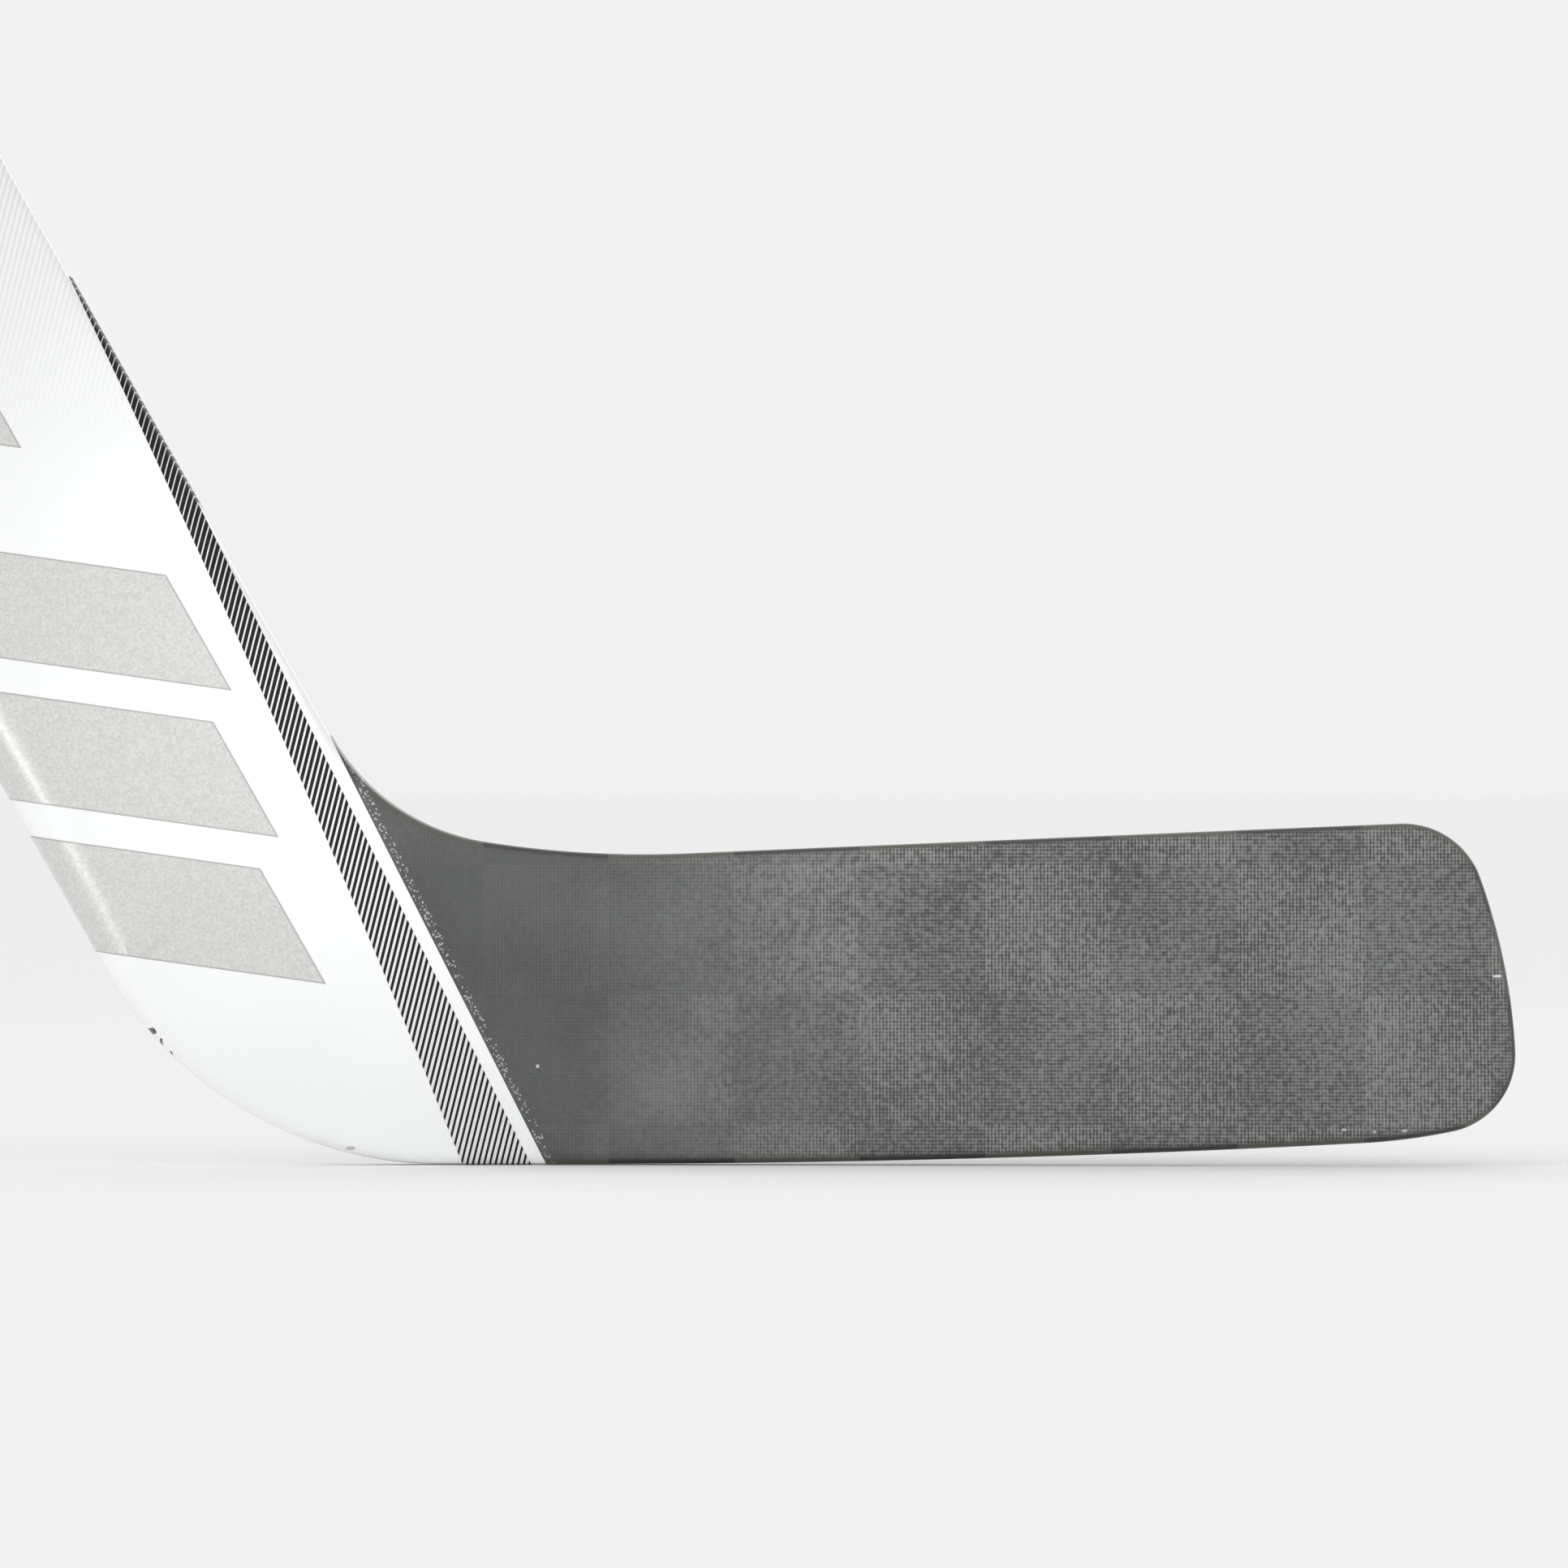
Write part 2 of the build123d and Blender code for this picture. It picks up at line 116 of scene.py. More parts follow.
@dataclass(frozen=True)
class StickShape:
    """Sizes of the stick's outline and section, shared by every piece."""

    lean: float = 29.6
    paddle_length: float = 660
    paddle_width: float = 88.9
    paddle_thickness: float = round(2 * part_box("paddle_back_skin")[1].y / MM, 2)
    shoulder_length: float = 65
    neck_length: float = 20
    shaft_width: float = 30
    heel_radius: float = 110
    blade_length: float = round(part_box("blade_front_skin")[1].x / MM, 2)
    blade_height: float = 88.8
    height_station: float = 133.5
    top_slope: float = 2.4
    top_bend_radius: float = 290
    top_bend_turn: float = 11.4
    throat_radius: float = 62
    sole_flat_end: float = 101
    rocker_turn: float = 3.2
    toe_foot: tuple[float, float] = (169, 8.8)
    toe_lower: tuple[float, float] = (22.6, 80.6)
    toe_side_turn: float = 17
    toe_upper_radius: float = 22.7
    slant: float = 45
    taper: tuple[float, float] = (-70, 70)
    curve_start: float = 75
    curve_depth: float = 14.5
    blade_thickness: float = 12.5
    toe_thickness: float = 9.5
    seam_foot: float = 94.4
    seam_lean: float = 26.75
    stripe_gap: float = 4.3
    stripe_foot_width: float = 19.6
    stripe_tip: float = 253.8
    stripe_bulge: float = 2.5
    trailing_round: float = 12
    leading_round: float = 4.5
    blade_round: float = 3.6
    neck_round: float = 5
    # Where one rounding gives way to the next: across, by station, and short of the paddle's
    # end and the neck's
    leading_blend: tuple[float, float] = (30, 70)
    blade_blend: tuple[float, float] = (-110, 45)
    neck_blend: tuple[float, float] = (15, 8)

    @property
    def neck_top(self) -> float:
        """Where the paddle ends on the shaft."""
        return self.paddle_length + self.shoulder_length + self.neck_length

    @property
    def axis(self) -> float:
        """Heading of the paddle's axis."""
        return 90 + self.lean

    @property
    def profile_end(self) -> float:
        """The last station that the section is drawn to."""
        return self.blade_length * math.cos(math.radians(self.slant))

    def along(self, place: Vector) -> float:
        """Distance of a place up the paddle."""
        return place.dot(heading(self.axis))

    def across(self, place: Vector) -> float:
        """Distance of a place from the paddle's trailing edge."""
        return place.dot(heading(self.lean))

    def on_paddle(self, along: float, across: float) -> Vector:
        """The place at these distances up the paddle and across it."""
        return heading(self.axis) * along + heading(self.lean) * across

    def station(self, place: Vector) -> float:
        """Distance of a place along the slant."""
        return place.dot(heading(-self.slant))

    def level(self, station: float, side: int) -> float:
        """Where a face of the stick is.

        Args:
            station: distance along the slant.
            side: -1 for the front face, 1 for the back and 0 for the middle between them.

        Returns:
            Its y.
        """
        paddle = side * self.paddle_thickness / 2
        blade = side * self.blade_thickness / 2
        toe = side * self.toe_thickness / 2
        low, high = self.taper
        half = (high - low) / 2
        step = (paddle - blade) / 2
        if station <= low:
            return paddle
        if station <= low + half:
            return paddle - sagitta(half, step, station - low)
        if station <= high:
            return blade + sagitta(half, step, high - station)
        if station <= self.curve_start:
            return blade
        toe_run = self.blade_length - self.blade_height / 2
        toe_station = toe_run * math.cos(math.radians(self.slant))
        bend = ((self.profile_end - self.curve_start) / (toe_station - self.curve_start)) ** 2
        drop = self.curve_depth * bend - toe + blade
        chord = self.profile_end - self.curve_start
        return blade - sagitta(chord, drop, station - self.curve_start)

    def stripe_bow(self, share: float) -> float:
        """How far the stripe's curved edge bows out, at a share of its length."""
        return 4 * self.stripe_bulge * share * (1 - share)

    def edge_reach(self, place: Vector) -> float:
        """How far in from the outline the edge is rounded.

        It is full down the trailing edge, and slim on the leading edge and on the blade.

        Args:
            place: in the plane y = 0.

        Returns:
            The width of the rounded band there.
        """
        leading = smooth(*self.leading_blend, self.across(place))
        paddle = self.trailing_round + (self.leading_round - self.trailing_round) * leading
        blade = smooth(*self.blade_blend, self.station(place))
        reach = paddle + (self.blade_round - paddle) * blade
        low = self.paddle_length - self.neck_blend[0]
        high = self.neck_top - self.neck_blend[1]
        neck = smooth(low, high, self.along(place))
        return reach + (self.neck_round - reach) * neck


class EdgePath:
    """A chain of vertices laid along lines and arcs that are tangent to each other.

    Each vertex remembers the heading of the path there, so that the rings of the rounded edge can
    be set in from it at right angles.
    """

    def __init__(self, start: Vector, start_heading: float) -> None:
        """Begins a path.

        Args:
            start: its first place.
            start_heading: the way it sets off, in degrees.
        """
        self.mesh = bmesh.new()
        names = ("heading", "base_x", "base_z", "rise", "rim")
        self.layers = {name: self.mesh.verts.layers.float.new(name) for name in names}
        self.heading = start_heading
        self.tip = self.mesh.verts.new(start)
        self.first = self.tip
        self.tip[self.layers["heading"]] = start_heading

    def line(self, length: float, steps: int) -> None:
        """Goes straight on.

        Args:
            length: how far.
            steps: how many edges that takes.
        """
        for _ in range(steps):
            made = bmesh.ops.extrude_vert_indiv(self.mesh, verts=[self.tip])
            self.tip = made["verts"][0]
            move = heading(self.heading) * (length / steps)
            bmesh.ops.translate(self.mesh, verts=[self.tip], vec=move)
            self.tip[self.layers["heading"]] = self.heading

    def arc(self, radius: float, turn: float, steps: int) -> None:
        """Turns along an arc.

        Args:
            radius: of the arc.
            turn: degrees to the left, or to the right if negative.
            steps: how many edges that takes.
        """
        side = math.copysign(90, turn)
        centre = self.tip.co + heading(self.heading + side) * radius
        bmesh.ops.spin(
            self.mesh,
            geom=[self.tip],
            cent=centre,
            axis=(0, -1, 0),
            angle=math.radians(turn),
            steps=steps,
            use_merge=False,
            use_duplicate=False,
        )
        self.mesh.verts.ensure_lookup_table()
        for index in range(steps):
            vertex = self.mesh.verts[index - steps]
            vertex[self.layers["heading"]] = self.heading + turn * (index + 1) / steps
        self.tip = self.mesh.verts[-1]
        self.heading += turn

    def corner(self, turn: float) -> None:
        """Turns on the spot."""
        self.heading += turn

    def close(self) -> None:
        """Joins the last vertex to the first, where it lies, and notes each one's place."""
        bmesh.ops.weld_verts(self.mesh, targetmap={self.tip: self.first})
        for vertex in self.mesh.verts:
            vertex[self.layers["base_x"]] = vertex.co.x
            vertex[self.layers["base_z"]] = vertex.co.z


def arc_step(radius: float, start: float, turn: float) -> Vector:
    """The move from one end of an arc to the other.

    Args:
        radius: of the arc.
        start: heading at its start.
        turn: degrees to the left, or to the right if negative.

    Returns:
        The move, in the plane y = 0.
    """
    side = math.copysign(90, turn)
    return (heading(start + side) - heading(start + turn + side)) * radius


@dataclass
class StickBody:
    """The whole outer surface of paddle and blade, from which the shells and films are cut.

    The rounded edge is drawn with edge_rings rings, and a support ring on the flat beside it. The
    flat is cut into strips where the thickness changes and into steps up the paddle. An edge is
    never deeper than steepest times its width.
    """

    shape: StickShape = field(default_factory=StickShape)
    edge_rings: int = 9
    support: float = 1.2
    steepest: float = 0.9
    spare_neck: float = 16
    strip: float = 6
    paddle_step: float = 45
    lowest_step: int = 2
    stripe_steps: int = 16
    finished: dict[Face, BMesh] = field(default_factory=dict)

    def outline(self) -> EdgePath:
        """Lays the outline from the heel along the ice, round the toe and up the paddle.

        Returns:
            The closed path.
        """
        s = self.shape
        foot = s.rocker_turn + s.toe_foot[1]
        side_start = foot + s.toe_lower[1]
        side_end = side_start + s.toe_side_turn
        top = 180 + s.top_slope
        throat = top - s.top_bend_turn
        toe_run = arc_step(s.toe_foot[0], s.rocker_turn, s.toe_foot[1]).x
        toe_run += arc_step(s.toe_lower[0], foot, 90 - foot).x
        rocker_run = s.blade_length - toe_run - s.sole_flat_end
        rocker = rocker_run / math.sin(math.radians(s.rocker_turn))
        below = Vector((s.sole_flat_end, 0, 0)) + arc_step(rocker, 0, s.rocker_turn)
        below += arc_step(s.toe_foot[0], s.rocker_turn, s.toe_foot[1])
        below += arc_step(s.toe_lower[0], foot, s.toe_lower[1])
        above = arc_step(s.toe_upper_radius, side_end, top - side_end)
        normal = heading(90 + s.top_slope)
        unit_side = arc_step(1, side_start, s.toe_side_turn)
        target = Vector((s.height_station, 0, s.blade_height))
        side_radius = (target - below - above).dot(normal) / unit_side.dot(normal)
        toe_top = below + unit_side * side_radius + above
        bends = arc_step(s.top_bend_radius, top, -s.top_bend_turn)
        bends += arc_step(s.throat_radius, throat, s.axis - throat)
        run = (s.paddle_width - s.across(toe_top + bends)) / s.across(heading(top))
        throat_top = s.along(toe_top + bends + heading(top) * run)
        heel_tangent = s.heel_radius * math.tan(math.radians((90 - s.lean) / 2))
        offset = (s.paddle_width - s.shaft_width) / 2
        bend = 2 * math.degrees(math.atan(offset / s.shoulder_length))
        shoulder = s.shoulder_length / (2 * math.sin(math.radians(bend)))
        neck = s.neck_length + self.spare_neck

        # The last number of each line and arc is how many edges draw it
        path = EdgePath(Vector((heel_tangent, 0, 0)), 0)
        path.line(s.sole_flat_end - heel_tangent, 8)
        path.arc(rocker, s.rocker_turn, 36)
        path.arc(s.toe_foot[0], s.toe_foot[1], 8)
        path.arc(s.toe_lower[0], s.toe_lower[1], 28)
        path.arc(side_radius, s.toe_side_turn, 16)
        path.arc(s.toe_upper_radius, top - side_end, 26)
        path.line(run, 30)
        path.arc(s.top_bend_radius, -s.top_bend_turn, 14)
        path.arc(s.throat_radius, s.axis - throat, 28)
        path.line(s.paddle_length - throat_top, 80)
        path.arc(shoulder, bend, 20)
        path.arc(shoulder, -bend, 20)
        path.line(neck, 6)
        path.corner(90)
        path.line(s.shaft_width, 6)
        path.corner(90)
        path.line(neck, 6)
        path.arc(shoulder, -bend, 20)
        path.arc(shoulder, bend, 20)
        path.line(s.paddle_length - heel_tangent, 90)
        path.arc(s.heel_radius, 90 - s.lean, 48)
        path.close()
        return path

    def set_in(self, vertex: BMVert, layers: dict[str, Any], angle: float, extra: float) -> None:
        """Moves a vertex of a new ring to its place on the rounded edge, still in the plane.

        Args:
            vertex: to move.
            layers: the path's vertex layers.
            angle: how far round the edge, 0 at the rim and 90 where the flat starts.
            extra: how much further in than that, on the flat.
        """
        base = Vector((vertex[layers["base_x"]], 0, vertex[layers["base_z"]]))
        inward = heading(vertex[layers["heading"]] + 90)
        reach = self.shape.edge_reach(base)
        vertex.co = base + inward * (reach * (1 - math.cos(math.radians(angle))) + extra)
        vertex[layers["rise"]] = math.sin(math.radians(angle))
        vertex[layers["rim"]] = 1.0

    def surface(self, face: Face) -> BMesh:
        """Builds one face of the stick with its half of the edge, up to the middle of the rim.

        Args:
            face: front or back.

        Returns:
            An open mesh in millimetres, the caller's own copy.
        """
        if face in self.finished:
            return self.finished[face].copy()
        path = self.outline()
        mesh, layers = path.mesh, path.layers
        loop = list(mesh.edges)
        angles = [90 * k / self.edge_rings for k in range(self.edge_rings + 1)]
        for angle, extra in [(a, 0.0) for a in angles] + [(90.0, self.support)]:
            made = bmesh.ops.extrude_edge_only(mesh, edges=loop)["geom"]
            newest = {g for g in made if isinstance(g, BMVert)}
            for vertex in newest:
                self.set_in(vertex, layers, angle, extra)
            loop = [g for g in made if isinstance(g, BMEdge) and set(g.verts) <= newest]
        bmesh.ops.contextual_create(mesh, geom=loop)
        self.slice(mesh)
        for vertex in mesh.verts:
            self.raise_to(vertex, layers, face)
        bmesh.ops.recalc_face_normals(mesh, faces=mesh.faces)
        probe = max(mesh.faces, key=lambda f: f.calc_area())
        if probe.normal.y * face.value < 0:
            bmesh.ops.reverse_faces(mesh, faces=mesh.faces)
        self.finished[face] = mesh
        return mesh.copy()

    def slice(self, mesh: BMesh) -> None:
        """Cuts the flat surface into strips that can follow the taper and the blade's curve.

        Args:
            mesh: to cut.
        """
        s = self.shape
        stations = int((s.profile_end - s.taper[0]) / self.strip)
        for index in range(stations):
            place = heading(-s.slant) * (s.taper[0] + index * self.strip)
            self.cut(mesh, place, heading(-s.slant))
        up = heading(s.axis)
        for index in range(self.lowest_step, int(s.neck_top / self.paddle_step)):
            self.cut(mesh, up * (index * self.paddle_step), up)

    @staticmethod
    def cut(mesh: BMesh, place: Vector, normal: Vector, keep: int = 0) -> None:
        """Cuts a mesh by a plane.

        Args:
            mesh: to cut.
            place: on the plane.
            normal: of the plane.
            keep: 1 keeps only what is ahead of the plane, -1 only what is behind it, 0 both.
        """
        bmesh.ops.bisect_plane(
            mesh,
            geom=[*mesh.verts, *mesh.edges, *mesh.faces],
            dist=1e-4,
            plane_co=place,
            plane_no=normal,
            clear_outer=keep < 0,
            clear_inner=keep > 0,
        )

    def raise_to(self, vertex: BMVert, layers: dict[str, Any], face: Face) -> None:
        """Moves a vertex from the plane to the stick's surface.

        Args:
            vertex: to move.
            layers: the path's vertex layers.
            face: front or back.
        """
        s = self.shape
        place = Vector((vertex.co.x, 0, vertex.co.z))
        station = s.station(place)
        middle = s.level(station, 0)
        height = abs(s.level(station, face.value) - middle)
        depth = min(self.steepest * s.edge_reach(place), height)
        lift = vertex[layers["rim"]] * (height - depth * (1 - vertex[layers["rise"]]))
        vertex.co.y = middle + face.value * lift

    def shell(self, face: Face, part: Part) -> BMesh:
        """Cuts the paddle's or the blade's share out of one face.

        Args:
            face: front or back.
            part: which side of the seam to keep.

        Returns:
            An open mesh in millimetres.
        """
        s = self.shape
        mesh = self.surface(face)
        self.cut(mesh, Vector((s.seam_foot, 0, 0)), heading(s.seam_lean), part.value)
        if part is Part.PADDLE:
            self.cut(mesh, heading(s.axis) * s.neck_top, heading(s.axis), -1)
        return mesh

    def bar(self, face: Face, start: float, length: float, reach: float, fall: float) -> BMesh:
        """Cuts one slanted bar out of the paddle's face.

        Args:
            face: front or back.
            start: along, at the trailing edge.
            length: of the bar along the paddle.
            reach: how far across it goes.
            fall: how much its ends fall for each millimetre across.

        Returns:
            An open mesh in millimetres.
        """
        s = self.shape
        mesh = self.shell(face, Part.PADDLE)
        across = s.on_paddle(-fall, 1)
        normal = Vector((-across.z, 0, across.x)).normalized()
        self.cut(mesh, s.on_paddle(start, 0), normal, 1)
        self.cut(mesh, s.on_paddle(start + length, 0), normal, -1)
        self.cut(mesh, s.on_paddle(0, reach), heading(s.lean), -1)
        return mesh

    def stripe(self, face: Face) -> BMesh:
        """Cuts the tapering band beside the seam out of the paddle's face.

        Args:
            face: front or back.

        Returns:
            An open mesh in millimetres.
        """
        s = self.shape
        mesh = self.shell(face, Part.PADDLE)
        foot_right = Vector((s.seam_foot - s.stripe_gap, 0, 0))
        foot_left = foot_right - Vector((s.stripe_foot_width, 0, 0))
        lean = math.radians(s.lean)
        tip_x = (s.paddle_width - s.stripe_tip * math.sin(lean)) / math.cos(lean)
        tip = Vector((tip_x, 0, s.stripe_tip))
        self.cut(mesh, foot_right, heading(s.seam_lean), -1)
        chord = foot_left - tip
        side = Vector((-chord.z, 0, chord.x)).normalized()
        shares = [k / self.stripe_steps for k in range(self.stripe_steps + 1)]
        places = [tip + chord * share + side * s.stripe_bow(share) for share in shares]
        for start, end in zip(places, places[1:]):
            run = end - start
            self.cut(mesh, start, Vector((-run.z, 0, run.x)).normalized())
        gone = [
            f for f in mesh.faces if not self.in_stripe(f.calc_center_median(), tip, chord, side)
        ]
        bmesh.ops.delete(mesh, geom=gone, context="FACES")
        return mesh

    def in_stripe(self, place: Vector, tip: Vector, chord: Vector, side: Vector) -> bool:
        """Tells whether a place lies on the seam's side of the stripe's curved edge.

        Args:
            place: to test.
            tip: the stripe's upper end.
            chord: the move from there to the edge's lower end.
            side: the way toward the seam, at right angles to the chord.

        Returns:
            Whether it does.
        """
        away = Vector((place.x, 0, place.z)) - tip
        share = away.dot(chord) / chord.length_squared
        return share > 0 and away.dot(side) > self.shape.stripe_bow(share)


def per(size: float) -> float:
    """The texture scale that draws a pattern of this size."""
    return 1 / (size * MM)


def feed(node: Node, values: dict[str | int, Any]) -> None:
    """Sets or links a node's inputs.

    Args:
        node: to feed.
        values: an input's name or number to its value, or to the socket or node that feeds it. A
            node feeds from the first of its outputs that is in use.
    """
    for key, value in values.items():
        if isinstance(value, Node):
            value = next(output for output in value.outputs if output.enabled)
        if isinstance(value, NodeSocket):
            node.id_data.links.new(value, node.inputs[key])
        else:
            node.inputs[key].default_value = value


def add_node(
    tree: NodeTree, kind: str, values: dict[str | int, Any] | None = None, **settings: Any
) -> Node:
    """Adds one node.

    Args:
        tree: to add it to.
        kind: its type without the "ShaderNode" in front.
        values: for its inputs, as feed takes them.
        settings: the node's own properties.

    Returns:
        The node.
    """
    node = tree.nodes.new("ShaderNode" + kind)
    for name, value in settings.items():
        setattr(node, name, value)
    feed(node, values or {})
    return node


def new_material(name: str) -> tuple[Material, NodeTree, Node]:
    """Makes an empty material.

    Args:
        name: of the material.

    Returns:
        The material, its node tree and its Principled shader, already wired to the output.
    """
    material = bpy.data.materials.new(name)
    material.use_nodes = True
    tree = material.node_tree
    tree.nodes.clear()
    shader = add_node(tree, "BsdfPrincipled")
    add_node(tree, "OutputMaterial", {"Surface": shader})
    return material, tree, shader


def put_in_order(mesh: BMesh) -> None:
    """Orders a mesh's elements by place, because cuts leave them in a different order each run.

    Args:
        mesh: to put in order.
    """
    for elements, place in (
        (mesh.verts, lambda vertex: tuple(vertex.co)),
        (mesh.edges, lambda edge: sorted(vertex.index for vertex in edge.verts)),
        (mesh.faces, lambda face: sorted(vertex.index for vertex in face.verts)),
    ):
        for index, element in enumerate(sorted(elements, key=place)):
            element.index = index
        elements.sort()


def make_object(name: str, mesh: BMesh, *materials: Material) -> Object:
    """Turns a bmesh in millimetres into an object at the origin that rides on the stick.

    Args:
        name: of the piece.
        mesh: its shape, which is freed.
        materials: in the order of their numbers on the faces.

    Returns:
        The object.
    """
    bmesh.ops.scale(mesh, vec=(MM, MM, MM), verts=mesh.verts)
    put_in_order(mesh)
    for edge in mesh.edges:
        edge.smooth = not edge.is_boundary and edge.smooth
    for face in mesh.faces:
        face.smooth = True
    data = bpy.data.meshes.new(name)
    mesh.to_mesh(data)
    mesh.free()
    for material in materials:
        data.materials.append(material)
    piece = bpy.data.objects.new(name, data)
    bpy.context.scene.collection.objects.link(piece)
    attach(piece, "root")
    log.info("%s: %d faces", name, len(data.polygons))
    return piece


def thicken(piece: Object, thickness: float, outwards: bool) -> None:
    """Gives an open surface its wall.

    Args:
        piece: to thicken.
        thickness: of the wall.
        outwards: whether the wall grows out of the surface or into it.
    """
    wall = piece.modifiers.new("wall", "SOLIDIFY")
    wall.thickness = thickness * MM
    wall.offset = 1 if outwards else -1
    wall.use_rim = True


@dataclass(frozen=True)
class Lines:
    """Parallel printed lines, by their lean from upright and their real pitch."""

    lean: float = 14.0
    pitch: float = 1.575

    def phase(self, tree: NodeTree) -> Node:
        """How far a point is through its line and gap, from 0 to 1.

        Args:
            tree: to build in.

        Returns:
            The node that says.
        """
        where = add_node(tree, "TexCoord").outputs["Object"]
        angle = math.radians(self.lean)
        turn = (math.cos(angle), 0, -math.sin(angle))
        along = add_node(tree, "VectorMath", {0: where, 1: turn}, operation="DOT_PRODUCT")
        count = add_node(tree, "Math", {0: along, 1: per(self.pitch)}, operation="MULTIPLY")
        return add_node(tree, "Math", {0: count}, operation="FRACT")


@dataclass(frozen=True)
class Chip:
    """A knock in the paint: its place on the stick's face, its size and what it bares.

    Its edge has notches a notch apart. It lies where the distance from the middle, in chip sizes,
    and a noise of about a half add up to the limit.
    """

    x: float
    z: float
    width: float
    height: float
    tone: str = "2A2B2C"
    notch: ClassVar[float] = 1.2
    limit: ClassVar[float] = 1.45


def chipped(tree: NodeTree, where: NodeSocket, colour: Node, chips: tuple[Chip, ...]) -> Node:
    """Knocks chips out of a colour.

    Args:
        tree: to build in.
        where: the socket with the point's place.
        colour: the node with the whole surface's colour.
        chips: to knock out.

    Returns:
        The node with the chipped colour.
    """
    notch = {"Vector": where, "Scale": per(Chip.notch), "Detail": 3.0}
    ragged = add_node(tree, "TexNoise", notch)
    for chip in chips:
        shift = (-chip.x / chip.width, 0, -chip.z / chip.height)
        scale = (per(chip.width), 0, per(chip.height))
        centred = add_node(tree, "Mapping", {0: where, 1: shift, 3: scale})
        reach = add_node(tree, "VectorMath", {0: centred}, operation="LENGTH")
        edge = add_node(tree, "Math", {0: reach, 1: ragged}, operation="ADD")
        inside = add_node(tree, "Math", {0: edge, 1: Chip.limit}, operation="LESS_THAN")
        bared = {0: inside, 6: colour, 7: linear(chip.tone)}
        colour = add_node(tree, "Mix", bared, data_type="RGBA")
    return colour


@dataclass(frozen=True)
class WhiteLacquer:
    """Sprayed two-pack lacquer over filler: bright, cool white, and slightly rippled.

    A pale grey hatch is printed under it, and fades in up the paddle over hatch_rise.
    """

    name: str = "white_two_pack_lacquer"
    colour: str = "F4F6F5"
    shade: str = "ECEEED"
    drift: float = 70
    hatch: str = "D9DAD9"
    hatch_share: float = 0.45
    hatch_depth: float = 0.8
    hatch_rise: tuple[float, float] = (190, 300)
    ripple: float = 1.6
    chips: tuple[Chip, ...] = (
        Chip(-18.4, 38.0, 1.6, 1.1),
        Chip(-15.6, 34.4, 0.5, 1.8),
        Chip(-12.8, 31.0, 0.45, 1.6),
        Chip(33.6, 3.7, 1.6, 0.8, "C2C2BF"),
        Chip(38.6, 4.6, 1.4, 0.6, "BDBDBA"),
    )

    def build(self) -> Material:
        """Makes the material. White that greys a little in drifts, with a soft ripple in its gloss.

        Returns:
            The material.
        """
        material, tree, shader = new_material(self.name)
        where = add_node(tree, "TexCoord").outputs["Object"]
        drifts = {"Vector": where, "Scale": per(self.drift), "Detail": 2.0}
        drift = add_node(tree, "TexNoise", drifts)
        whites = {0: drift, 6: linear(self.colour), 7: linear(self.shade)}
        white = add_node(tree, "Mix", whites, data_type="RGBA")
        height = add_node(tree, "SeparateXYZ", {0: where}).outputs["Z"]
        low, high = self.hatch_rise
        rise = {0: height, 1: low * MM, 2: high * MM, 3: 0.0, 4: self.hatch_depth}
        fade = add_node(tree, "MapRange", rise, interpolation_type="SMOOTHSTEP")
        line = {0: Lines().phase(tree), 1: self.hatch_share}
        gap = add_node(tree, "Math", line, operation="LESS_THAN")
        ink = add_node(tree, "Math", {0: gap, 1: fade}, operation="MULTIPLY")
        hatched = {0: ink, 6: white, 7: linear(self.hatch)}
        printed = add_node(tree, "Mix", hatched, data_type="RGBA")
        ripples = {"Vector": where, "Scale": per(self.ripple), "Detail": 1.0}
        peel = add_node(tree, "TexNoise", ripples)
        relief = {"Height": peel, "Strength": 0.12, "Distance": 0.05 * MM}
        looks = {"Base Color": chipped(tree, where, printed, self.chips)}
        looks |= {"Normal": add_node(tree, "Bump", relief), "Roughness": 0.22, "IOR": 1.5}
        feed(shader, looks | {"Coat Weight": 0.5, "Coat Roughness": 0.06})
        return material


